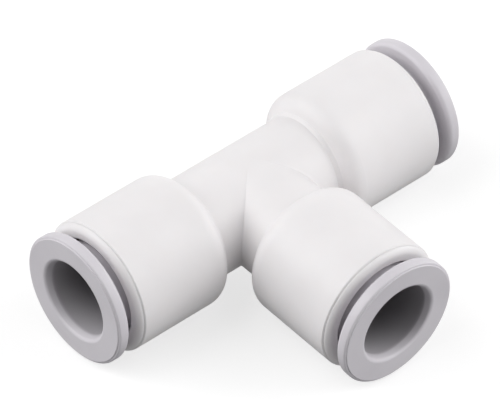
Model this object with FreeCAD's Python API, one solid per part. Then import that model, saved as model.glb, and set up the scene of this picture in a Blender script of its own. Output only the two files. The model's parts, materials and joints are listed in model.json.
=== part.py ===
import FreeCAD, Part
import math
import os

# Push-in tee fitting for three 8 mm tubes, in millimetres, lying flat on its three sockets.
# Each port is worked out once along +X, outwards from the point where the three tube axes cross.
# A value named ..._at is a distance along the port from that crossing.

# Tube that the fitting takes
tube_diameter = 8.0
seat_clearance = 0.10           # gap all round between the tube and its seat
collar_clearance = 0.20         # gap all round between the tube and the release collar
grip_bite = 0.15                # how far the claw tips reach inside the tube's outer face
seal_squeeze = 0.15             # how far the seal reaches inside the tube's outer face

# Moulded body
hub_wall = 1.45                 # hub round the tube seat
socket_wall = 1.05              # socket round the cartridge
shoulder_at = 8.50              # where the flank's line would meet the socket's outer face
shoulder_slope = 67.0           # degrees between the flank and the port's axis
shoulder_round = 1.95
shoulder_root_bevel = 0.30
crotch_round = 0.15             # blend where the branch's hub meets the run's hub
socket_end_at = 19.60
seam_chamfer = 0.12             # bevel of the socket's end, which the cap's lip carries on
tube_stop_at = 7.00
tube_stop_ledge = 1.00          # step that the tube's end meets
gland_at = 10.40
seat_lead_in = 0.30

# Rubber seal ring, with a bead inside that is squeezed by the tube
seal_thickness = 2.00
seal_width = 2.00
seal_outer_gap = 0.05
seal_side_gap = 0.10
seal_bead_width = 0.60
seal_bead_height = 0.80

# Support ring behind the claw
support_clearance = 0.05
support_length = 1.90
support_land = 0.15             # straight end of its bore, next to the seal
support_rim_width = 0.55

# Spring steel claw ring
claw_thickness = 0.30
claw_clearance = 0.08
claw_rim_width = 0.62
claw_reach_in = 0.95            # how far the tips lie behind the rim
claw_teeth = 10
claw_slot_width = 0.60

# End cap pressed into the socket
cap_press_gap = 0.02
cap_skirt_wall = 0.63
cap_rib_clearance = 0.15
cap_rib_depth = 1.60            # from the socket's end to the rib's inner side
cap_rib_length = 1.20
cap_rib_lead = 0.30
cap_mouth_gap = 0.75            # open ring between the collar's neck and the cap's lip
cap_lip_length = 0.60
cap_lip_slope = 18.0            # degrees that the lip's outer side leans in
cap_lip_round = 0.78
cap_mouth_chamfer = 0.12
cap_nose_chamfer = 0.25

# Release collar
release_travel = 1.10
release_spare = 0.10            # flange to cap when the collar is pushed right in
flange_inset = 0.15             # how much lower the flange is than the socket
flange_length = 1.40
flange_back_bevel = 0.20
flange_front_bevel = 0.13
face_plate_inset = 0.25         # how much lower than the flange the raised face plate is
face_plate_height = 0.12
face_plate_bevel = 0.05
neck_wall = 0.75
mouth_edge_width = 0.10
mouth_edge_depth = 0.20
mouth_step = 0.07
mouth_band_width = 0.27
mouth_band_depth = 0.62
barb_height = 0.45
barb_clearance = 0.15
barb_length = 0.50
barb_ramp_length = 0.80
barb_gap = 0.10
nose_clearance = 0.40           # collar to claw at rest, along the axis
nose_tip_wall = 0.15
nose_taper_length = 0.80
finger_count = 4
finger_slit_width = 0.80
finger_slit_past_barb = 0.30

# How far a cutting shape runs past what it cuts
cut_spare = 1.0

# Radii that follow, from the tube outwards
tube_radius = tube_diameter / 2
seat_radius = tube_radius + seat_clearance
flow_radius = seat_radius - tube_stop_ledge
hub_radius = seat_radius + hub_wall
seal_bead_radius = tube_radius - seal_squeeze
seal_radius = seal_bead_radius + seal_thickness
gland_radius = seal_radius + seal_outer_gap
claw_tip_radius = tube_radius - grip_bite
collar_bore_radius = tube_radius + collar_clearance
neck_radius = collar_bore_radius + neck_wall
barb_radius = neck_radius + barb_height
cap_rib_radius = neck_radius + cap_rib_clearance
cap_mouth_radius = neck_radius + cap_mouth_gap
cap_chamber_radius = barb_radius + barb_clearance
cap_radius = cap_chamber_radius + cap_skirt_wall
cartridge_bore_radius = cap_radius + cap_press_gap
claw_rim_radius = cartridge_bore_radius - claw_clearance
claw_root_radius = claw_rim_radius - claw_rim_width
support_radius = cartridge_bore_radius - support_clearance
socket_radius = cartridge_bore_radius + socket_wall
flange_radius = socket_radius - flange_inset

# Distances that follow, from the tube stop outwards
seal_at = gland_at + seal_side_gap
support_at = seal_at + seal_width + seal_side_gap
claw_at = support_at + support_length
cap_at = claw_at + claw_thickness
cap_rib_at = socket_end_at - cap_rib_depth
cap_face_at = socket_end_at + cap_lip_length
flange_at = cap_face_at + release_travel + release_spare
face_at = flange_at + flange_length
barb_at = cap_rib_at - barb_gap
claw_lean = math.atan2(claw_reach_in, claw_root_radius - claw_tip_radius)

# Where the crossing of the axes lies: the part's box is centred on the origin and stands on Z = 0
crossing_y = (face_at - socket_radius) / 2
crossing_z = socket_radius

# Direction of each port, in degrees about +Z from +X
port_angles = {"left": 180.0, "right": 0.0, "branch": -90.0}

ORIGIN = FreeCAD.Vector(0, 0, 0)
PORT_AXIS = FreeCAD.Vector(1, 0, 0)
SIDEWAYS = FreeCAD.Vector(0, 1, 0)
UP = FreeCAD.Vector(0, 0, 1)


def corner_arc(before, corner, after, rounding):
    """Start, middle and end of the arc that rounds a corner between two neighbours."""
    to_before = (before - corner).normalize()
    to_after = (after - corner).normalize()
    half_angle = to_before.getAngle(to_after) / 2
    bisector = (to_before + to_after).normalize()
    reach = rounding / math.tan(half_angle)
    centre = corner + bisector * (rounding / math.sin(half_angle))
    return corner + to_before * reach, centre - bisector * rounding, corner + to_after * reach


def rounded_outline(corners):
    """Closed wire through corners (along, radius) or (along, radius, rounding)."""
    points = [PORT_AXIS * corner[0] + SIDEWAYS * corner[1] for corner in corners]
    edges = []
    starts = []
    ends = []
    for index, corner in enumerate(corners):
        point = points[index]
        if len(corner) == 2:
            starts.append(point)
            ends.append(point)
            continue
        before = points[index - 1]
        after = points[(index + 1) % len(points)]
        first, middle, last = corner_arc(before, point, after, corner[2])
        edges.append((index, Part.Arc(first, middle, last).toShape()))
        starts.append(first)
        ends.append(last)
    for index in range(len(corners)):
        following = starts[(index + 1) % len(corners)]
        edges.append((index + 0.5, Part.LineSegment(ends[index], following).toShape()))
    edges.sort(key=lambda pair: pair[0])
    return Part.Wire([edge for _, edge in edges])


def turned(corners):
    """Solid turned about the port's axis from the outline of its half section."""
    return Part.Face(rounded_outline(corners)).revolve(ORIGIN, PORT_AXIS, 360)


def tee(corners, start_radius):
    """Run and branch fused into one solid, from the corners of one arm beyond the crossing."""
    other_way = [(-corner[0],) + corner[1:] for corner in reversed(corners)]
    run = turned(other_way + corners)
    branch = turned([(0, 0), (0, start_radius)] + corners)
    return run.fuse(at_port(branch, port_angles["branch"])).removeSplitter()


def arm_outside():
    """Corners of the outer form of one arm: hub, rounded shoulder and socket."""
    slope = math.radians(shoulder_slope)
    root_at = shoulder_at - (socket_radius - hub_radius) / math.tan(slope)
    bevel = shoulder_root_bevel
    return [
        (root_at - bevel, hub_radius),
        (root_at + bevel * math.cos(slope), hub_radius + bevel * math.sin(slope)),
        (shoulder_at, socket_radius, shoulder_round),
        (socket_end_at - seam_chamfer, socket_radius),
        (socket_end_at, socket_radius - seam_chamfer),
        (socket_end_at, 0),
    ]


def arm_inside():
    """Corners of the passage, tube seat, seal gland and cartridge bore of one arm."""
    past_end = socket_end_at + cut_spare
    return [
        (tube_stop_at, flow_radius),
        (tube_stop_at, seat_radius),
        (gland_at - seat_lead_in, seat_radius),
        (gland_at, seat_radius + seat_lead_in),
        (gland_at, gland_radius),
        (support_at, gland_radius),
        (support_at, cartridge_bore_radius),
        (past_end, cartridge_bore_radius),
        (past_end, 0),
    ]


def make_body():
    """Tee body: three arms in one moulding with blended crotches, hollowed from port to port."""
    body = tee(arm_outside(), hub_radius)
    crotch = [edge for edge in body.Edges if isinstance(edge.Curve, Part.Ellipse)]
    body = body.makeFillet(crotch_round, crotch)
    return body.cut(tee(arm_inside(), flow_radius))


def make_seal():
    """Rubber ring that fills the gland, with a bead that seals on the tube."""
    end = seal_at + seal_width
    bead_side = (seal_width - seal_bead_width) / 2
    foot_radius = seal_bead_radius + seal_bead_height
    return turned([
        (seal_at, foot_radius),
        (seal_at, seal_radius),
        (end, seal_radius),
        (end, foot_radius),
        (end - bead_side, seal_bead_radius),
        (seal_at + bead_side, seal_bead_radius),
    ])


def make_support():
    """Plastic ring that closes the gland and backs the claw with a cone for its teeth."""
    return turned([
        (support_at, collar_bore_radius),
        (support_at, support_radius),
        (claw_at, support_radius),
        (claw_at, support_radius - support_rim_width),
        (support_at + support_land, collar_bore_radius),
    ])


def claw_slot(start, angle):
    """Gap between two teeth, open at the tips and round at the root."""
    length = cap_at + cut_spare - start
    root = claw_root_radius - claw_slot_width / 2
    corner = FreeCAD.Vector(start, -claw_slot_width / 2, 0)
    slot = Part.makeBox(length, claw_slot_width, root, corner)
    end = Part.makeCylinder(claw_slot_width / 2, length, FreeCAD.Vector(start, 0, root), PORT_AXIS)
    slot = slot.fuse(end)
    slot.rotate(ORIGIN, PORT_AXIS, angle)
    return slot


def make_claw():
    """Claw ring: a flat rim with teeth that lean inwards and bite on the tube."""
    skew = claw_thickness * math.tan(claw_lean / 2)
    tip_at = cap_at - claw_reach_in
    tip_back_at = tip_at - claw_thickness * math.cos(claw_lean)
    tip_back_radius = claw_tip_radius + claw_thickness * math.sin(claw_lean)
    ring = turned([
        (cap_at, claw_rim_radius),
        (cap_at, claw_root_radius),
        (tip_at, claw_tip_radius),
        (tip_back_at, tip_back_radius),
        (claw_at, claw_root_radius + skew),
        (claw_at, claw_rim_radius),
    ])
    start = tip_back_at - cut_spare
    slots = [claw_slot(start, 360.0 * index / claw_teeth) for index in range(claw_teeth)]
    return ring.cut(slots[0].fuse(slots[1:]))


def make_cap():
    """End cap: skirt, inner rib that holds the collar, and rounded lip."""
    rib_end = cap_rib_at + cap_rib_length
    lip_radius = socket_radius - seam_chamfer
    lip_drop = cap_lip_length * math.tan(math.radians(cap_lip_slope))
    return turned([
        (cap_at, cap_chamber_radius),
        (cap_at, cap_radius - cap_nose_chamfer),
        (cap_at + cap_nose_chamfer, cap_radius),
        (socket_end_at, cap_radius),
        (socket_end_at, lip_radius),
        (cap_face_at, lip_radius - lip_drop, cap_lip_round),
        (cap_face_at, cap_mouth_radius + cap_mouth_chamfer),
        (cap_face_at - cap_mouth_chamfer, cap_mouth_radius),
        (rib_end, cap_mouth_radius),
        (rib_end, cap_rib_radius + cap_rib_lead),
        (rib_end - cap_rib_lead, cap_rib_radius),
        (cap_rib_at, cap_rib_radius),
        (cap_rib_at, cap_chamber_radius),
    ])


def claw_face_at(radius):
    """Where the claw's outer side lies along the axis, at a radius on its teeth."""
    return cap_at - (claw_root_radius - radius) * math.tan(claw_lean)


def finger_slit(nose_at, angle):
    """Slit between two spring fingers of the collar, with a round end."""
    height = barb_radius + cut_spare
    start = FreeCAD.Vector(nose_at - cut_spare, -finger_slit_width / 2, 0)
    end_at = cap_rib_at + finger_slit_past_barb - finger_slit_width / 2
    slit = Part.makeBox(end_at - start.x, finger_slit_width, height, start)
    end = Part.makeCylinder(finger_slit_width / 2, height, FreeCAD.Vector(end_at, 0, 0), UP)
    slit = slit.fuse(end)
    slit.rotate(ORIGIN, PORT_AXIS, angle)
    return slit


def make_collar():
    """Release collar: flange to push on, neck, and split sleeve with barbs and a tapered nose."""
    nose_radius = collar_bore_radius + nose_tip_wall
    nose_at = claw_face_at(nose_radius) + nose_clearance
    edge_radius = collar_bore_radius + mouth_band_width + mouth_step
    step_at = face_at - face_plate_height
    plate_radius = flange_radius - face_plate_inset
    band_at = face_at - mouth_edge_depth
    collar = turned([
        (nose_at, collar_bore_radius),
        (nose_at, nose_radius),
        (nose_at + nose_taper_length, neck_radius),
        (barb_at - barb_length - barb_ramp_length, neck_radius),
        (barb_at - barb_length, barb_radius),
        (barb_at, barb_radius),
        (barb_at, neck_radius),
        (flange_at, neck_radius),
        (flange_at, flange_radius - flange_back_bevel),
        (flange_at + flange_back_bevel, flange_radius),
        (step_at - flange_front_bevel, flange_radius),
        (step_at, flange_radius - flange_front_bevel),
        (step_at, plate_radius),
        (face_at - face_plate_bevel, plate_radius),
        (face_at, plate_radius - face_plate_bevel),
        (face_at, edge_radius + mouth_edge_width),
        (band_at, edge_radius),
        (band_at, edge_radius - mouth_step),
        (band_at - mouth_band_depth, collar_bore_radius),
    ])
    slits = [finger_slit(nose_at, 360.0 * index / finger_count) for index in range(finger_count)]
    return collar.cut(slits[0].fuse(slits[1:]))


def at_port(shape, angle):
    """Turn a shape that was made along +X to the direction of a port."""
    placed = shape.copy()
    placed.rotate(ORIGIN, UP, angle)
    return placed


def save(name, shape):
    """Move a piece from the crossing's frame to the part's frame and write it."""
    placed = shape.copy()
    placed.translate(FreeCAD.Vector(0, crossing_y, crossing_z))
    if len(placed.Solids) != 1 or not placed.isValid():
        raise RuntimeError(name + " is not one sound solid")
    placed.Solids[0].exportStep("parts/" + name + ".step")
    print(name, "volume", round(placed.Volume, 2))


os.makedirs("parts", exist_ok=True)
save("tee_body", make_body())
port_pieces = {
    "seal_ring": make_seal(),
    "support_ring": make_support(),
    "claw_ring": make_claw(),
    "end_cap": make_cap(),
    "release_collar": make_collar(),
}
for port_name, port_angle in port_angles.items():
    for piece_name, piece in port_pieces.items():
        save(port_name + "_" + piece_name, at_port(piece, port_angle))
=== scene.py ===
"""Looks of a push-in tee fitting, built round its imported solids.

The white moulding lies on a pale floor. Grey release collars stand in its three ports, each with
the steel claw, the support ring and the seal that can be seen down its bore.
Sizes are in millimetres from the point where the three tube axes cross, and each port is worked
out once along +X.
"""

import json
import logging
import math
from dataclasses import dataclass, field, replace
from enum import Enum
from typing import ClassVar

import bmesh
import bpy
from mathutils import Matrix, Vector

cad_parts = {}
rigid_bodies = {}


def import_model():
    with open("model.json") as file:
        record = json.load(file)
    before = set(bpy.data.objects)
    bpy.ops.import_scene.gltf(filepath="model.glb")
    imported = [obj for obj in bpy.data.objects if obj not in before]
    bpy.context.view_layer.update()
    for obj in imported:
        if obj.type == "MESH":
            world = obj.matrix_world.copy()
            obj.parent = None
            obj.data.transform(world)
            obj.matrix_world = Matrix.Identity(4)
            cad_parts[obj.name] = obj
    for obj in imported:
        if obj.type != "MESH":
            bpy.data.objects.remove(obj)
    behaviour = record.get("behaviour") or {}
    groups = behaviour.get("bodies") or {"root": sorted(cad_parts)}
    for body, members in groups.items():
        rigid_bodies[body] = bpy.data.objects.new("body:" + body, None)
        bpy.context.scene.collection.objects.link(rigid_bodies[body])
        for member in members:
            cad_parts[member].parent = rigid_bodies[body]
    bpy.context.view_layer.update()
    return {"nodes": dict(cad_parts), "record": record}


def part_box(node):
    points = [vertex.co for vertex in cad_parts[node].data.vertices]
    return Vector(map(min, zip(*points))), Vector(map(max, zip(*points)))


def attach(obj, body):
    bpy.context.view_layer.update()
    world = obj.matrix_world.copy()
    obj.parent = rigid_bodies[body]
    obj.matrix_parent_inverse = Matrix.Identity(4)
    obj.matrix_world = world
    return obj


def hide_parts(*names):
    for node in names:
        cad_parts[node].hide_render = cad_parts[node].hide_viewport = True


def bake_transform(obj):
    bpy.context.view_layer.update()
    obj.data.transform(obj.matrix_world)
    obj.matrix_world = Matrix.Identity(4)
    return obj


for leftover in list(bpy.data.objects):
    bpy.data.objects.remove(leftover)
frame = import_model()

MM = 0.001
# Attribute that holds the share of shade painted into a collar's bore.
BORE_PAINTED_SHADE = "bore_depth"
NOISE_LOW = 0.3
NOISE_HIGH = 0.7
ROUND_PROFILE = 0.5
WHITE_LIGHT = (1.0, 1.0, 1.0, 1.0)
Tone = tuple[float, float, float]
Corner = tuple[float, float]
LOG = logging.getLogger("tee_fitting")


class Port(Enum):
    """The three ports, each with its direction in degrees about +Z from +X."""

    LEFT = 180.0
    RIGHT = 0.0
    BRANCH = -90.0

    @property
    def label(self) -> str:
        """First word of the names of the port's nodes and bodies."""
        return self.name.lower()

    @property
    def heading(self) -> Vector:
        """Direction out of the port."""
        angle = math.radians(self.value)
        return Vector((math.cos(angle), math.sin(angle), 0.0))


class Slot(Enum):
    """The record's material slots."""

    WHITE = "white_plastic"
    GREY = "grey_plastic"
    INNER = "inner_plastic"
    STEEL = "spring_steel"
    RUBBER = "seal_rubber"


def crossing() -> Vector:
    """Point where the three tube axes cross, in metres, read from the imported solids."""
    low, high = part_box("left_release_collar")
    return Vector((0.0, (low.y + high.y) / 2, (low.z + high.z) / 2))


class Graph:
    """Small helper that lays out the shader nodes of one material."""

    def __init__(self, name: str) -> None:
        """Start a material with a shader and an output.

        Args:
            name: Name of the material.
        """
        self.material = bpy.data.materials.new(name)
        self.material.use_nodes = True
        self.tree = self.material.node_tree
        self.shader = self.tree.nodes["Principled BSDF"]

    def add(self, kind: str, inputs: dict | None = None, **settings: object) -> bpy.types.Node:
        """Add a node.

        Args:
            kind: Blender's name for the kind of node.
            inputs: Values of its input sockets, by name or number.
            **settings: Properties of the node.

        Returns:
            The new node.
        """
        node = self.tree.nodes.new(kind)
        for key, value in settings.items():
            setattr(node, key, value)
        for key, value in (inputs or {}).items():
            node.inputs[key].default_value = value
        return node

    def link(self, source: bpy.types.NodeSocket, target: bpy.types.NodeSocket) -> None:
        """Join an output socket to an input socket."""
        self.tree.links.new(source, target)

    def place(
        self, scale: float, stretch: tuple[float, float, float] = (1, 1, 1),
    ) -> bpy.types.NodeSocket:
        """Coordinates on the object, in units of a pattern's size.

        Args:
            scale: Pattern units per millimetre.
            stretch: Share of that scale along X, Y and Z.

        Returns:
            The socket that holds the coordinates.
        """
        source = self.add("ShaderNodeTexCoord")
        factors = [scale * part / MM for part in stretch]
        mapping = self.add("ShaderNodeMapping", {"Scale": factors})
        self.link(source.outputs["Object"], mapping.inputs["Vector"])
        return mapping.outputs["Vector"]

    def noise(
        self, where: bpy.types.NodeSocket, detail: float, roughness: float = 0.5,
    ) -> bpy.types.NodeSocket:
        """Noise from 0 to 1 at a place.

        Args:
            where: Coordinates, as from place().
            detail: Number of finer layers.
            roughness: Strength of the finer layers.

        Returns:
            The socket that holds the noise.
        """
        node = self.add(
            "ShaderNodeTexNoise", {"Scale": 1.0, "Detail": detail, "Roughness": roughness})
        self.link(where, node.inputs["Vector"])
        return node.outputs["Fac"]

    def spread(
        self, value: bpy.types.NodeSocket, low: float, high: float,
    ) -> bpy.types.NodeSocket:
        """Noise's usual range taken to a range of its own.

        Args:
            value: Socket with noise.
            low: Result at the noise's low end.
            high: Result at its high end.

        Returns:
            The socket that holds the result.
        """
        node = self.add("ShaderNodeMapRange", {
            "From Min": NOISE_LOW, "From Max": NOISE_HIGH, "To Min": low, "To Max": high})
        self.link(value, node.inputs["Value"])
        return node.outputs["Result"]

    def tint(self, value: bpy.types.NodeSocket, dark: Tone, light: Tone) -> None:
        """Colour of the surface between two near tones.

        Args:
            value: Socket with noise.
            dark: Colour at the noise's low end.
            light: Colour at its high end.
        """
        ramp = self.add("ShaderNodeValToRGB")
        ends = ((NOISE_LOW, dark), (NOISE_HIGH, light))
        for element, (position, tone) in zip(ramp.color_ramp.elements, ends):
            element.position = position
            element.color = (*tone, 1.0)
        self.link(value, ramp.inputs["Fac"])
        self.link(ramp.outputs["Color"], self.shader.inputs["Base Color"])

    def darken(self, attribute: str, tone: float) -> None:
        """Paint shade into the surface's colour where an attribute of the piece says so.

        Args:
            attribute: Name of the attribute, from 0, unchanged, to 1.
            tone: Share of the colour that is left at 1.
        """
        depth = self.add("ShaderNodeAttribute", attribute_name=attribute)
        share = self.add("ShaderNodeMapRange", {"To Min": 1.0, "To Max": tone})
        self.link(depth.outputs["Fac"], share.inputs["Value"])
        base = self.shader.inputs["Base Color"]
        scaled = self.add("ShaderNodeVectorMath", operation="SCALE")
        self.link(base.links[0].from_socket, scaled.inputs["Vector"])
        self.link(share.outputs["Result"], scaled.inputs["Scale"])
        self.link(scaled.outputs["Vector"], base)

    def bump(self, heights: list[tuple[bpy.types.NodeSocket, float]]) -> None:
        """Fine relief of the surface.

        Args:
            heights: Pairs of a socket from 0 to 1 and its full height in millimetres.
        """
        normal = None
        for value, height in heights:
            node = self.add("ShaderNodeBump", {"Strength": 1.0, "Distance": height * MM})
            self.link(value, node.inputs["Height"])
            if normal is not None:
                self.link(normal, node.inputs["Normal"])
            normal = node.outputs["Normal"]
        self.link(normal, self.shader.inputs["Normal"])


@dataclass(frozen=True)
class MouldedPlastic:
    """Satin moulded plastic: fine spark-eroded grain, faint flow mottling and a soft depth."""

    name: str
    dark: Tone
    light: Tone
    roughness: float
    roughness_spread: float = 0.05
    flow_per_mm: float = 0.16
    flow_detail: float = 3.0
    grain_per_mm: float = 9.0
    grain_detail: float = 2.0
    grain_height: float = 0.0016
    ripple_per_mm: float = 0.7
    ripple_detail: float = 1.0
    ripple_height: float = 0.0030
    depth: float = 0.0
    depth_reach: float = 0.8
    depth_tint: Tone = (1.0, 0.85, 0.75)
    ior: float = 1.49
    # Share of the colour left deepest in a collar's bore, where shade is painted in; 1 paints none.
    bore_tone: float = 1.0

    def material(self) -> bpy.types.Material:
        """Make the material.

        Returns:
            The finished material.
        """
        graph = Graph(self.name)
        shader = graph.shader
        flow = graph.noise(graph.place(self.flow_per_mm), self.flow_detail)
        grain = graph.noise(graph.place(self.grain_per_mm), self.grain_detail)
        ripple = graph.noise(graph.place(self.ripple_per_mm), self.ripple_detail)
        graph.tint(flow, self.dark, self.light)
        # Painted shade: a collar's bore is darkened with depth, where shade falls.
        if self.bore_tone < 1.0:
            graph.darken(BORE_PAINTED_SHADE, self.bore_tone)
        low = self.roughness - self.roughness_spread
        high = self.roughness + self.roughness_spread
        graph.link(graph.spread(grain, low, high), shader.inputs["Roughness"])
        graph.bump([(ripple, self.ripple_height), (grain, self.grain_height)])
        shader.inputs["IOR"].default_value = self.ior
        shader.inputs["Subsurface Weight"].default_value = self.depth
        shader.inputs["Subsurface Radius"].default_value = self.depth_tint
        shader.inputs["Subsurface Scale"].default_value = self.depth_reach * MM
        return graph.material


@dataclass(frozen=True)
class SpringSteel:
    """Stamped spring steel with fine rolling lines and slight heat tint."""

    name: str = "stamped_spring_steel"
    dark: Tone = (0.42, 0.41, 0.40)
    light: Tone = (0.62, 0.61, 0.60)
    smoothest: float = 0.22
    roughest: float = 0.38
    lines_per_mm: float = 0.8
    line_stretch: tuple[float, float, float] = (1, 1, 26)
    line_detail: float = 3.0
    line_roughness: float = 0.6
    line_height: float = 0.0012
    cloud_per_mm: float = 0.9
    cloud_detail: float = 2.0

    def material(self) -> bpy.types.Material:
        """Make the material.

        Returns:
            The finished material.
        """
        graph = Graph(self.name)
        lines_at = graph.place(self.lines_per_mm, self.line_stretch)
        lines = graph.noise(lines_at, self.line_detail, self.line_roughness)
        cloud = graph.noise(graph.place(self.cloud_per_mm), self.cloud_detail)
        graph.tint(cloud, self.dark, self.light)
        rough = graph.spread(lines, self.smoothest, self.roughest)
        graph.link(rough, graph.shader.inputs["Roughness"])
        graph.bump([(lines, self.line_height)])
        graph.shader.inputs["Metallic"].default_value = 1.0
        return graph.material


@dataclass(frozen=True)
class SealRubber:
    """Black moulded rubber with a light bloom."""

    name: str = "moulded_rubber"
    dark: Tone = (0.018, 0.018, 0.019)
    light: Tone = (0.040, 0.040, 0.041)
    smoothest: float = 0.45
    roughest: float = 0.65
    bloom_per_mm: float = 1.4
    bloom_detail: float = 4.0
    grain_per_mm: float = 11.0
    grain_detail: float = 2.0
    grain_height: float = 0.003

    def material(self) -> bpy.types.Material:
        """Make the material.

        Returns:
            The finished material.
        """
        graph = Graph(self.name)
        bloom = graph.noise(graph.place(self.bloom_per_mm), self.bloom_detail)
        grain = graph.noise(graph.place(self.grain_per_mm), self.grain_detail)
        graph.tint(bloom, self.dark, self.light)
        rough = graph.spread(bloom, self.smoothest, self.roughest)
        graph.link(rough, graph.shader.inputs["Roughness"])
        graph.bump([(grain, self.grain_height)])
        return graph.material


@dataclass(frozen=True)
class PaleFloor:
    """Pale matt floor with a faint cloud, lit a little from within."""

    name: str = "pale_floor"
    dark: Tone = (0.39, 0.39, 0.39)
    light: Tone = (0.41, 0.41, 0.41)
    cloud_per_mm: float = 0.01
    cloud_detail: float = 2.0
    roughness: float = 0.8
    gloss: float = 0.2
    glow: float = 0.66

    def material(self) -> bpy.types.Material:
        """Make the material.

        Returns:
            The finished material.
        """
        graph = Graph(self.name)
        cloud = graph.noise(graph.place(self.cloud_per_mm), self.cloud_detail)
        graph.tint(cloud, self.dark, self.light)
        graph.shader.inputs["Roughness"].default_value = self.roughness
        graph.shader.inputs["Specular IOR Level"].default_value = self.gloss
        graph.shader.inputs["Emission Color"].default_value = WHITE_LIGHT
        graph.shader.inputs["Emission Strength"].default_value = self.glow
        return graph.material


@dataclass(frozen=True)
class WhiteBackdrop:
    """Plain white with neither shade nor gloss."""

    name: str = "white_backdrop"
    base: tuple[float, float, float, float] = (0.0, 0.0, 0.0, 1.0)
    gloss: float = 0.0
    glow: float = 1.0

    def material(self) -> bpy.types.Material:
        """Make the material.

        Returns:
            The finished material.
        """
        graph = Graph(self.name)
        graph.shader.inputs["Base Color"].default_value = self.base
        graph.shader.inputs["Specular IOR Level"].default_value = self.gloss
        graph.shader.inputs["Emission Color"].default_value = WHITE_LIGHT
        graph.shader.inputs["Emission Strength"].default_value = self.glow
        return graph.material


class Finishes:
    """The finishes of the fitting, made once each."""

    def __init__(self) -> None:
        """Make one material for each slot of the record."""
        white = MouldedPlastic(
            "white_satin_moulding", dark=(0.770, 0.750, 0.757), light=(0.805, 0.786, 0.793),
            roughness=0.46, depth=0.12)
        # The grey paints shade into the collars' bores, darker with depth.
        grey = MouldedPlastic(
            "grey_satin_moulding", dark=(0.592, 0.569, 0.604), light=(0.644, 0.620, 0.656),
            roughness=0.42, bore_tone=0.36)
        inner = MouldedPlastic(
            "inner_satin_moulding", dark=(0.60, 0.60, 0.61), light=(0.66, 0.66, 0.67),
            roughness=0.5)
        self.materials = {
            Slot.WHITE: white.material(),
            Slot.GREY: grey.material(),
            Slot.INNER: inner.material(),
            Slot.STEEL: SpringSteel().material(),
            Slot.RUBBER: SealRubber().material(),
        }

    def dress(self, piece: bpy.types.Object, slot: Slot) -> None:
        """Give a piece the finish of the record's slot.

        Args:
            piece: Piece to dress.
            slot: Slot of the record.
        """
        piece.data.materials.clear()
        piece.data.materials.append(self.materials[slot])


def select_only(*things: bpy.types.Object) -> None:
    """Select these objects alone, and make the first one active.

    Args:
        *things: Objects to select.
    """
    bpy.ops.object.select_all(action="DESELECT")
    for thing in things:
        thing.select_set(True)
    bpy.context.view_layer.objects.active = things[0]


def apply_modifier(piece: bpy.types.Object, kind: str, **settings: object) -> None:
    """Add a modifier to a piece and apply it.

    Args:
        piece: Piece to change.
        kind: Blender's name for the kind of modifier.
        **settings: Properties of the modifier.
    """
    select_only(piece)
    bpy.ops.object.modifier_add(type=kind)
    modifier = piece.modifiers[-1]
    for key, value in settings.items():
        setattr(modifier, key, value)
    bpy.ops.object.modifier_apply(modifier=modifier.name)


def cut_away(piece: bpy.types.Object, cutter: bpy.types.Object) -> None:
    """Take a cutter's shape out of a piece, and delete the cutter.

    Args:
        piece: Piece to cut.
        cutter: Closed mesh that is taken away.
    """
    apply_modifier(piece, "BOOLEAN", operation="DIFFERENCE", solver="EXACT", object=cutter)
    bpy.data.objects.remove(cutter)


@dataclass(frozen=True)
class Rounding:
    """How edges are rounded: reach from the corner in millimetres, and faces across it."""

    reach: float
    steps: int


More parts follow.
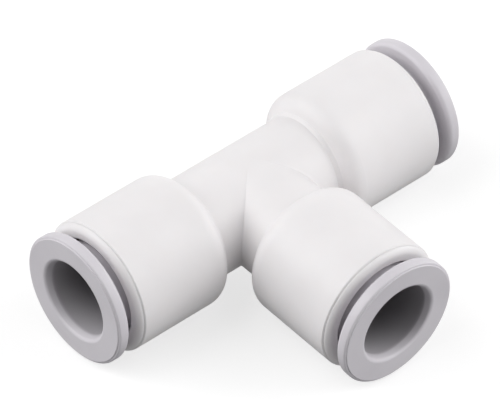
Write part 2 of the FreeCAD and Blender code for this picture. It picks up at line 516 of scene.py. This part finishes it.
@dataclass
class Lathe:
    """Makes closed rings about +X: a circle is extruded and scaled from corner to corner."""

    segments: int = 144
    merge_distance: float = 1e-8
    match: float = 2e-3
    smooth_angle: float = 32.0
    flat_weight: int = 50

    def turn(self, name: str, corners: list[Corner]) -> bpy.types.Object:
        """Turn a closed ring.

        Args:
            name: Name of the piece.
            corners: Corners of the half section, as (along, radius) in millimetres.

        Returns:
            The ring, with its origin where the tube axes cross.
        """
        along, radius = corners[0]
        bpy.ops.object.select_all(action="DESELECT")
        bpy.ops.mesh.primitive_circle_add(
            vertices=self.segments, radius=radius * MM, fill_type="NOTHING",
            location=(along * MM, 0, 0), rotation=(0, math.pi / 2, 0))
        piece = bpy.context.object
        piece.name = name
        piece.data.name = name
        bpy.ops.object.transform_apply(location=True, rotation=True, scale=True)
        bpy.ops.object.mode_set(mode="EDIT")
        bpy.ops.mesh.select_all(action="SELECT")
        for next_along, next_radius in corners[1:] + corners[:1]:
            step = (next_along - along) * MM
            bpy.ops.mesh.extrude_region_move(TRANSFORM_OT_translate={"value": (step, 0, 0)})
            ratio = next_radius / radius
            bpy.ops.transform.resize(
                value=(1, ratio, ratio), center_override=(next_along * MM, 0, 0))
            along, radius = next_along, next_radius
        bpy.ops.mesh.select_all(action="SELECT")
        bpy.ops.mesh.remove_doubles(threshold=self.merge_distance)
        bpy.ops.mesh.normals_make_consistent(inside=False)
        bpy.ops.object.mode_set(mode="OBJECT")
        return piece

    def round_corners(
        self, piece: bpy.types.Object, corners: list[Corner], rounding: Rounding,
    ) -> None:
        """Round the edges that run round a ring at some corners.

        Args:
            piece: Ring to change.
            corners: Corners to round, as (along, radius) in millimetres.
            rounding: How they are rounded.
        """
        select_only(piece)
        bpy.ops.object.mode_set(mode="EDIT")
        bpy.ops.mesh.select_mode(type="EDGE")
        bpy.ops.mesh.select_all(action="DESELECT")
        mesh = bmesh.from_edit_mesh(piece.data)
        for edge in mesh.edges:
            edge.select_set(any(
                all(self.at(vert, corner) for vert in edge.verts) for corner in corners))
        bmesh.update_edit_mesh(piece.data)
        bpy.ops.mesh.bevel(
            offset=rounding.reach * MM, segments=rounding.steps, profile=ROUND_PROFILE,
            affect="EDGES")
        bpy.ops.object.mode_set(mode="OBJECT")

    def at(self, vert: bmesh.types.BMVert, corner: Corner) -> bool:
        """Tell whether a vertex lies on a corner's circle.

        Args:
            vert: Vertex of a ring about +X.
            corner: The corner, as (along, radius) in millimetres.

        Returns:
            True where both agree within the lathe's match.
        """
        along = vert.co.x / MM
        radius = math.hypot(vert.co.y, vert.co.z) / MM
        return abs(along - corner[0]) < self.match and abs(radius - corner[1]) < self.match

    def shade(self, piece: bpy.types.Object) -> None:
        """Shade a ring smooth, with its flat faces kept flat.

        Args:
            piece: Ring to shade.
        """
        select_only(piece)
        bpy.ops.object.shade_smooth_by_angle(angle=math.radians(self.smooth_angle))
        apply_modifier(piece, "WEIGHTED_NORMAL", keep_sharp=True, weight=self.flat_weight)

    def copy_to_port(self, piece: bpy.types.Object, port: Port, name: str) -> bpy.types.Object:
        """Copy a ring that was made along +X to a port.

        Args:
            piece: Ring to copy.
            port: Port that the copy goes to.
            name: Name of the copy.

        Returns:
            The copy, with a mesh of its own and its place in its mesh.
        """
        copy = piece.copy()
        copy.data = piece.data.copy()
        copy.name = name
        copy.data.name = name
        bpy.context.scene.collection.objects.link(copy)
        turn = Matrix.Rotation(math.radians(port.value), 4, "Z")
        copy.data.transform(Matrix.Translation(crossing()) @ turn)
        return copy


@dataclass(frozen=True)
class SlotCutter:
    """Cutter for evenly spaced slots that are open at one end and round at the other.

    The sizes are in millimetres. A slot runs from start to end along its length, and from low to
    high through the wall that it cuts. Slots run along the axis, or outwards from it through a
    wall that faces along it.
    """

    start: float
    end: float
    width: float
    low: float
    high: float
    count: int
    outwards: bool = False
    end_share: float = 0.999
    end_steps: int = 8
    facing: float = 0.9
    least_rise: float = 0.1
    match: float = 1e-3

    def build(self) -> bpy.types.Object:
        """Model one slot, and turn copies of it round the axis.

        Returns:
            One object that holds all the slots.
        """
        blade = self.blade()
        blades = [blade]
        for index in range(1, self.count):
            other = blade.copy()
            other.data = blade.data.copy()
            other.data.transform(Matrix.Rotation(2 * math.pi * index / self.count, 4, "X"))
            bpy.context.scene.collection.objects.link(other)
            blades.append(other)
        select_only(*blades)
        bpy.ops.object.join()
        return bpy.context.object

    def blade(self) -> bpy.types.Object:
        """Model the first slot: a block that is drawn out and rounded at its end.

        Returns:
            The slot, over the axis.
        """
        bpy.ops.object.select_all(action="DESELECT")
        level = (self.low + self.high) / 2 * (-1 if self.outwards else 1)
        straight_end = self.end - self.width / 2
        middle = Vector(((self.start + straight_end) / 2, 0, level))
        bpy.ops.mesh.primitive_cube_add(size=MM, location=middle * MM)
        blade = bpy.context.object
        blade.scale = (straight_end - self.start, self.width, self.high - self.low)
        bpy.ops.object.transform_apply(location=True, rotation=True, scale=True)
        bpy.ops.object.mode_set(mode="EDIT")
        bpy.ops.mesh.select_mode(type="FACE")
        bpy.ops.mesh.select_all(action="DESELECT")
        mesh = bmesh.from_edit_mesh(blade.data)
        for face in mesh.faces:
            face.select_set(face.normal.x > self.facing)
        bmesh.update_edit_mesh(blade.data)
        step = (self.width / 2 * MM, 0, 0)
        bpy.ops.mesh.extrude_region_move(TRANSFORM_OT_translate={"value": step})
        bpy.ops.mesh.select_mode(type="EDGE")
        bpy.ops.mesh.select_all(action="DESELECT")
        mesh = bmesh.from_edit_mesh(blade.data)
        for edge in mesh.edges:
            edge.select_set(self.at_end(edge))
        bmesh.update_edit_mesh(blade.data)
        bpy.ops.mesh.bevel(
            offset=self.width / 2 * self.end_share * MM, segments=self.end_steps,
            profile=ROUND_PROFILE, affect="EDGES")
        bpy.ops.object.mode_set(mode="OBJECT")
        if self.outwards:
            blade.data.transform(Matrix.Rotation(-math.pi / 2, 4, "Y"))
        return blade

    def at_end(self, edge: bmesh.types.BMEdge) -> bool:
        """Tell whether an edge of the blade stands upright at the slot's end.

        Args:
            edge: Edge of the blade.

        Returns:
            True for the two edges that are rounded.
        """
        first, second = edge.verts
        upright = abs(first.co.z - second.co.z) > self.least_rise * MM
        gaps = (abs(vert.co.x - self.end * MM) for vert in edge.verts)
        return upright and all(gap < self.match * MM for gap in gaps)


class Ring:
    """What every ring of a port has: its names, its finish and the body that it moves with."""

    word: ClassVar[str] = ""
    node_word: ClassVar[str] = ""
    slot: ClassVar[Slot] = Slot.WHITE
    body_word: ClassVar[str] = ""

    def build(self, lathe: Lathe) -> bpy.types.Object:
        """Model the ring along +X, which each kind does in its own way."""
        raise NotImplementedError

    def join(self, piece: bpy.types.Object, port: Port) -> None:
        """Let the copy in a port move with its body."""
        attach(piece, f"{port.label}_{self.body_word}" if self.body_word else "body")


@dataclass
class ReleaseCollar(Ring):
    """Grey ring that is pushed in to let the tube go.

    It has a flange with a raised face plate, a neck and a split sleeve. From dark_from behind the
    face, shade is painted into the colour of its bore's wall, darker with depth: by dark_share over
    dark_length, and by the rest over dark_reach.
    """

    word = "collar"
    node_word = "release_collar"
    slot = Slot.GREY
    body_word = "collar"
    face_at: float = 22.80
    flange_length: float = 1.40
    flange_radius: float = 7.10
    flange_back_round: Rounding = Rounding(0.45, 8)
    flange_front_round: Rounding = Rounding(0.20, 6)
    plate_radius: float = 6.85
    plate_height: float = 0.12
    plate_round: Rounding = Rounding(0.10, 4)
    plate_foot_round: Rounding = Rounding(0.03, 2)
    neck_radius: float = 4.95
    neck_root_round: Rounding = Rounding(0.25, 4)
    bore_radius: float = 4.20
    bore_end_round: Rounding = Rounding(0.04, 3)
    mouth_radius: float = 4.60
    mouth_round: Rounding = Rounding(0.14, 6)
    band_radius: float = 4.39
    band_sink: float = 0.17
    band_end_depth: float = 0.74
    band_round: Rounding = Rounding(0.08, 3)
    barb_radius: float = 5.40
    barb_at: float = 17.90
    barb_length: float = 0.50
    ramp_length: float = 0.80
    nose_at: float = 14.537
    nose_radius: float = 4.30
    nose_length: float = 1.00
    slit_end_at: float = 18.30
    slit_width: float = 0.80
    slit_count: int = 4
    slit_spare: float = 1.0
    slit_low: float = 1.0
    dark_from: float = 0.60
    dark_length: float = 0.45
    dark_share: float = 0.53
    dark_reach: float = 3.35

    def build(self, lathe: Lathe) -> bpy.types.Object:
        """Model the collar along +X.

        Args:
            lathe: Maker of rings.

        Returns:
            The finished collar.
        """
        back_at = self.face_at - self.flange_length
        step_at = self.face_at - self.plate_height
        dark_at = self.face_at - self.dark_from - self.dark_length
        plate_edge = (self.face_at, self.plate_radius)
        plate_foot = (step_at, self.plate_radius)
        flange_front = (step_at, self.flange_radius)
        flange_back = (back_at, self.flange_radius)
        neck_root = (back_at, self.neck_radius)
        bore_end = (self.face_at - self.band_end_depth, self.bore_radius)
        band_edge = (self.face_at - self.band_sink, self.band_radius)
        mouth_edge = (self.face_at, self.mouth_radius)
        collar = lathe.turn("collar_pattern", [
            plate_edge,
            plate_foot,
            flange_front,
            flange_back,
            neck_root,
            (self.barb_at, self.neck_radius),
            (self.barb_at, self.barb_radius),
            (self.barb_at - self.barb_length, self.barb_radius),
            (self.barb_at - self.barb_length - self.ramp_length, self.neck_radius),
            (self.nose_at + self.nose_length, self.neck_radius),
            (self.nose_at, self.nose_radius),
            (self.nose_at, self.bore_radius),
            # These two corners are where the painted shade of the bore grows.
            (dark_at - self.dark_reach, self.bore_radius),
            (dark_at, self.bore_radius),
            bore_end,
            band_edge,
            mouth_edge,
        ])
        for corner, rounding in (
            (plate_edge, self.plate_round),
            (plate_foot, self.plate_foot_round),
            (flange_front, self.flange_front_round),
            (flange_back, self.flange_back_round),
            (neck_root, self.neck_root_round),
            (band_edge, self.band_round),
            (bore_end, self.bore_end_round),
            (mouth_edge, self.mouth_round),
        ):
            lathe.round_corners(collar, [corner], rounding)
        slits = SlotCutter(
            start=self.nose_at - self.slit_spare, end=self.slit_end_at, width=self.slit_width,
            low=self.slit_low, high=self.barb_radius + self.slit_spare, count=self.slit_count)
        cut_away(collar, slits.build())
        lathe.shade(collar)
        self.mark_bore(collar)
        return collar

    def mark_bore(self, collar: bpy.types.Object) -> None:
        """Note on the mesh how much shade is painted into each point of the bore, from 0 to 1.

        Args:
            collar: The finished collar, along +X.
        """
        depths = collar.data.attributes.new(BORE_PAINTED_SHADE, "FLOAT", "POINT")
        for vert, depth in zip(collar.data.vertices, depths.data):
            radius = math.hypot(vert.co.y, vert.co.z) / MM
            down = self.face_at - vert.co.x / MM - self.dark_from
            edge = min(max(down / self.dark_length, 0.0), 1.0)
            deep = min(max((down - self.dark_length) / self.dark_reach, 0.0), 1.0)
            share = self.dark_share * edge + (1.0 - self.dark_share) * deep
            depth.value = share if radius < self.mouth_radius else 0.0


@dataclass
class EndCap(Ring):
    """White ring pressed into a socket: skirt, inner rib and rounded lip round the mouth."""

    word = "cap"
    node_word = "end_cap"
    slot = Slot.WHITE
    inner_at: float = 14.80
    chamber_radius: float = 5.55
    skirt_radius: float = 6.18
    nose_bevel: float = 0.25
    socket_end_at: float = 19.60
    lip_radius: float = 7.13
    face_at: float = 20.20
    lip_corner_radius: float = 6.935
    lip_round: Rounding = Rounding(0.52, 12)
    seam_round: Rounding = Rounding(0.09, 3)
    mouth_radius: float = 5.70
    mouth_round: Rounding = Rounding(0.12, 4)
    rib_at: float = 18.00
    rib_length: float = 1.20
    rib_radius: float = 5.10
    rib_lead: float = 0.30

    def build(self, lathe: Lathe) -> bpy.types.Object:
        """Model the cap along +X.

        Args:
            lathe: Maker of rings.

        Returns:
            The finished cap.
        """
        rib_end = self.rib_at + self.rib_length
        lip_corner = (self.face_at, self.lip_corner_radius)
        mouth_edge = (self.face_at, self.mouth_radius)
        seam_edge = (self.socket_end_at, self.lip_radius)
        cap = lathe.turn("cap_pattern", [
            (self.inner_at, self.chamber_radius),
            (self.inner_at, self.skirt_radius - self.nose_bevel),
            (self.inner_at + self.nose_bevel, self.skirt_radius),
            (self.socket_end_at, self.skirt_radius),
            seam_edge,
            lip_corner,
            mouth_edge,
            (rib_end, self.mouth_radius),
            (rib_end, self.rib_radius + self.rib_lead),
            (rib_end - self.rib_lead, self.rib_radius),
            (self.rib_at, self.rib_radius),
            (self.rib_at, self.chamber_radius),
        ])
        for corner, rounding in (
            (lip_corner, self.lip_round),
            (seam_edge, self.seam_round),
            (mouth_edge, self.mouth_round),
        ):
            lathe.round_corners(cap, [corner], rounding)
        lathe.shade(cap)
        return cap


@dataclass
class ClawRing(Ring):
    """Spring steel ring whose teeth lean inwards and grip the tube.

    Its number of segments is a multiple of its number of teeth, so all teeth are cut alike.
    """

    word = "claw"
    node_word = "claw_ring"
    slot = Slot.STEEL
    body_word = "claw"
    back_at: float = 14.51
    front_at: float = 14.79
    rim_radius: float = 6.12
    root_radius: float = 5.50
    root_back_radius: float = 5.58
    tip_at: float = 13.85
    tip_radius: float = 3.85
    tip_back_at: float = 13.59
    tip_back_radius: float = 4.00
    tooth_count: int = 10
    segments: int = 120
    gap_width: float = 0.60
    edge_round: Rounding = Rounding(0.035, 2)
    edge_angle: float = 35.0
    cutter_spare: float = 1.0

    def build(self, lathe: Lathe) -> bpy.types.Object:
        """Model the claw ring along +X.

        Args:
            lathe: Maker of rings.

        Returns:
            The finished claw ring.
        """
        claw = replace(lathe, segments=self.segments).turn("claw_pattern", [
            (self.front_at, self.rim_radius),
            (self.front_at, self.root_radius),
            (self.tip_at, self.tip_radius),
            (self.tip_back_at, self.tip_back_radius),
            (self.back_at, self.root_back_radius),
            (self.back_at, self.rim_radius),
        ])
        gaps = SlotCutter(
            start=0.0, end=self.root_radius, width=self.gap_width,
            low=self.tip_back_at - self.cutter_spare, high=self.front_at + self.cutter_spare,
            count=self.tooth_count, outwards=True)
        cut_away(claw, gaps.build())
        apply_modifier(
            claw, "BEVEL", width=self.edge_round.reach * MM, segments=self.edge_round.steps,
            limit_method="ANGLE", angle_limit=math.radians(self.edge_angle))
        lathe.shade(claw)
        return claw

    def join(self, piece: bpy.types.Object, port: Port) -> None:
        """Bake the ring's place into its mesh; it is joined to no body.

        Args:
            piece: The finished claw ring in its port.
            port: Not used.
        """
        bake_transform(piece)


@dataclass
class SupportRing(Ring):
    """Plastic ring that closes the seal's gland and backs the claw with a cone for its teeth."""

    word = "support"
    node_word = "support_ring"
    slot = Slot.INNER
    start_at: float = 12.60
    end_at: float = 14.50
    outer_radius: float = 6.15
    bore_radius: float = 4.20
    land: float = 0.05
    mouth_radius: float = 5.60
    edge_round: Rounding = Rounding(0.06, 2)

    def build(self, lathe: Lathe) -> bpy.types.Object:
        """Model the support ring along +X.

        Args:
            lathe: Maker of rings.

        Returns:
            The finished support ring.
        """
        corners = [
            (self.start_at, self.bore_radius),
            (self.start_at, self.outer_radius),
            (self.end_at, self.outer_radius),
            (self.end_at, self.mouth_radius),
            (self.start_at + self.land, self.bore_radius),
        ]
        support = lathe.turn("support_pattern", corners)
        lathe.round_corners(support, corners[1:4], self.edge_round)
        lathe.shade(support)
        return support


@dataclass
class SealRing(Ring):
    """Rubber ring that fills the gland, with a rounded bead that seals on the tube."""

    word = "seal"
    node_word = "seal_ring"
    slot = Slot.RUBBER
    start_at: float = 10.50
    end_at: float = 12.50
    outer_radius: float = 5.85
    foot_radius: float = 4.65
    bead_radius: float = 3.85
    bead_start_at: float = 11.20
    bead_end_at: float = 11.80
    bead_round: Rounding = Rounding(0.28, 5)
    edge_round: Rounding = Rounding(0.12, 3)

    def build(self, lathe: Lathe) -> bpy.types.Object:
        """Model the seal along +X.

        Args:
            lathe: Maker of rings.

        Returns:
            The finished seal.
        """
        edges = [
            (self.start_at, self.foot_radius),
            (self.start_at, self.outer_radius),
            (self.end_at, self.outer_radius),
            (self.end_at, self.foot_radius),
        ]
        bead = [
            (self.bead_end_at, self.bead_radius),
            (self.bead_start_at, self.bead_radius),
        ]
        seal = lathe.turn("seal_pattern", edges + bead)
        lathe.round_corners(seal, bead, self.bead_round)
        lathe.round_corners(seal, edges, self.edge_round)
        lathe.shade(seal)
        return seal


@dataclass
class FittingAssembly:
    """The whole fitting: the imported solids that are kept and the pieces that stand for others."""

    finishes: Finishes
    lathe: Lathe = field(default_factory=Lathe)

    def dress_kept(self) -> None:
        """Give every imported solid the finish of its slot."""
        slots = {part["node"]: part["material_slot"] for part in frame["record"]["subparts"]}
        for name, node in frame["nodes"].items():
            self.finishes.dress(node, Slot(slots[name]))
            LOG.info("dressed %s in %s", name, slots[name])

    def add_ring(self, ring: Ring) -> None:
        """Model one kind of ring once and copy it to the three ports.

        Args:
            ring: The kind of ring, with its sizes.
        """
        pattern = ring.build(self.lathe)
        for port in Port:
            piece = self.lathe.copy_to_port(pattern, port, f"{port.label}_{ring.word}")
            self.finishes.dress(piece, ring.slot)
            ring.join(piece, port)
            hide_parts(f"{port.label}_{ring.node_word}")
            LOG.info("built %s with %d faces", piece.name, len(piece.data.polygons))
        bpy.data.objects.remove(pattern)

    def add_rings(self) -> None:
        """Fill the three ports, from the seal outwards."""
        for ring in (SealRing(), SupportRing(), ClawRing(), EndCap(), ReleaseCollar()):
            self.add_ring(ring)


@dataclass(frozen=True)
class SoftPanel:
    """One soft light far off, placed in degrees from the camera's side and above the floor."""

    turn: float
    height: float
    strength: float


class Surroundings(Graph):
    """Lays out the soft light that comes from all round."""

    def __init__(self, name: str) -> None:
        """Start surroundings with no light.

        Args:
            name: Name of the world.
        """
        self.world = bpy.data.worlds.new(name)
        self.world.use_nodes = True
        self.tree = self.world.node_tree
        self.shader = self.tree.nodes["Background"]
        self.shader.inputs["Color"].default_value = WHITE_LIGHT
        self.view = self.add("ShaderNodeTexCoord").outputs["Generated"]
        self.total = None

    def add_panel(
        self, direction: tuple[float, float, float], strength: float, fade: float,
    ) -> None:
        """Add a panel's light to the rest.

        Away from its middle, the light is a share of its strength: half of 1 plus the cosine of
        the angle, to the power of fade.

        Args:
            direction: Unit vector from the fitting to the panel.
            strength: Brightness at the panel's middle.
            fade: How fast its light falls off to its sides.
        """
        facing = self.add("ShaderNodeVectorMath", {1: direction}, operation="DOT_PRODUCT")
        self.link(self.view, facing.inputs[0])
        share = self.add("ShaderNodeMath", {1: 0.5, 2: 0.5}, operation="MULTIPLY_ADD")
        self.link(facing.outputs["Value"], share.inputs[0])
        glow = self.add("ShaderNodeMath", {1: fade}, operation="POWER")
        self.link(share.outputs["Value"], glow.inputs[0])
        total = self.add("ShaderNodeMath", {1: strength, 2: 0.0}, operation="MULTIPLY_ADD")
        self.link(glow.outputs["Value"], total.inputs[0])
        if self.total is not None:
            self.link(self.total, total.inputs[2])
        self.total = total.outputs["Value"]
        self.link(self.total, self.shader.inputs["Strength"])


@dataclass
class Studio:
    """Pale floor, soft light and the camera."""

    azimuth: float = -42.8755
    elevation: float = 44.6941
    roll: float = 2.4333
    aim: tuple[float, float] = (-0.3263, 1.0336)
    distance: float = 557.98
    focal_pixels: float = 5528.93
    picture_width: int = 500
    sensor_width: float = 36.0
    nearest: float = 0.01
    floor_radius: float = 3.0
    floor_segments: int = 96
    backdrop_segments: int = 48
    backdrop_rings: int = 24
    wide_fade: float = 16.0
    wide_panels: tuple[SoftPanel, ...] = (
        SoftPanel(180.0, 0.0, 0.572),
        SoftPanel(45.0, -20.0, 1.463),
        SoftPanel(-45.0, -20.0, 0.255),
        SoftPanel(90.0, -20.0, 0.128),
        SoftPanel(-90.0, -20.0, 1.204),
        SoftPanel(180.0, -20.0, 0.859),
    )
    narrow_fade: float = 64.0
    narrow_panels: tuple[SoftPanel, ...] = (
        SoftPanel(107.0, 30.0, 4.112),
        SoftPanel(-107.0, 30.0, 2.408),
        SoftPanel(85.0, 30.0, 3.659),
        SoftPanel(-85.0, 30.0, 4.635),
        SoftPanel(107.0, 50.0, 1.585),
        SoftPanel(-107.0, 50.0, 0.808),
        SoftPanel(-130.0, 30.0, 1.913),
        SoftPanel(60.0, 60.0, 2.171),
        SoftPanel(-60.0, 60.0, 4.683),
        SoftPanel(60.0, 30.0, 0.359),
        SoftPanel(-60.0, 30.0, 1.992),
        SoftPanel(80.0, 5.0, 1.760),
        SoftPanel(135.0, 5.0, 4.083),
        SoftPanel(-135.0, 5.0, 0.158),
    )

    def add_camera(self) -> None:
        """Place the camera where the photograph was taken from."""
        azimuth, elevation, roll = (
            math.radians(angle) for angle in (self.azimuth, self.elevation, self.roll))
        back = Vector((
            math.sin(azimuth) * math.cos(elevation),
            -math.cos(azimuth) * math.cos(elevation),
            math.sin(elevation)))
        level = Vector((math.cos(azimuth), math.sin(azimuth), 0.0))
        upright = back.cross(level)
        right = level * math.cos(roll) + upright * math.sin(roll)
        up = upright * math.cos(roll) - level * math.sin(roll)
        turn = Matrix((right, up, back)).transposed()
        offset = Vector((self.aim[0], self.aim[1], -self.distance)) * MM
        place = crossing() - turn @ offset
        lens = bpy.data.cameras.new("camera")
        lens.lens = self.focal_pixels / self.picture_width * self.sensor_width
        lens.sensor_width = self.sensor_width
        lens.clip_start = self.nearest
        camera = bpy.data.objects.new("camera", lens)
        bpy.context.scene.collection.objects.link(camera)
        camera.matrix_world = Matrix.Translation(place) @ turn.to_4x4()
        bpy.context.scene.camera = camera

    def add_floor(self) -> None:
        """Lay a wide pale floor inside a plain white backdrop.

        Only the camera sees them. The soft light that they would throw back is part of the panels.
        """
        bpy.ops.object.select_all(action="DESELECT")
        bpy.ops.mesh.primitive_circle_add(
            vertices=self.floor_segments, radius=self.floor_radius, fill_type="NGON")
        floor = bpy.context.object
        floor.name = "floor"
        floor.data.materials.append(PaleFloor().material())
        bpy.ops.object.select_all(action="DESELECT")
        bpy.ops.mesh.primitive_uv_sphere_add(
            segments=self.backdrop_segments, ring_count=self.backdrop_rings,
            radius=self.floor_radius)
        backdrop = bpy.context.object
        backdrop.name = "backdrop"
        backdrop.data.materials.append(WhiteBackdrop().material())
        for screen in (floor, backdrop):
            screen.visible_diffuse = False
            screen.visible_glossy = False
            screen.visible_transmission = False
            screen.visible_volume_scatter = False
            screen.visible_shadow = False

    def add_light(self) -> None:
        """Light the fitting from all the panels."""
        surroundings = Surroundings("soft_panels")
        groups = ((self.wide_panels, self.wide_fade), (self.narrow_panels, self.narrow_fade))
        for panels, fade in groups:
            for panel in panels:
                turn = math.radians(self.azimuth - 90.0 + panel.turn)
                height = math.radians(panel.height)
                flat = math.cos(height)
                direction = (flat * math.cos(turn), flat * math.sin(turn), math.sin(height))
                surroundings.add_panel(direction, panel.strength, fade)
        bpy.context.scene.world = surroundings.world
        bpy.context.scene.view_settings.view_transform = "Standard"


def main() -> None:
    """Build the fitting and the studio round it."""
    logging.basicConfig(level=logging.INFO, format="%(name)s: %(message)s")
    assembly = FittingAssembly(Finishes())
    assembly.dress_kept()
    assembly.add_rings()
    studio = Studio()
    studio.add_floor()
    studio.add_light()
    studio.add_camera()


if __name__ == "__main__":
    main()
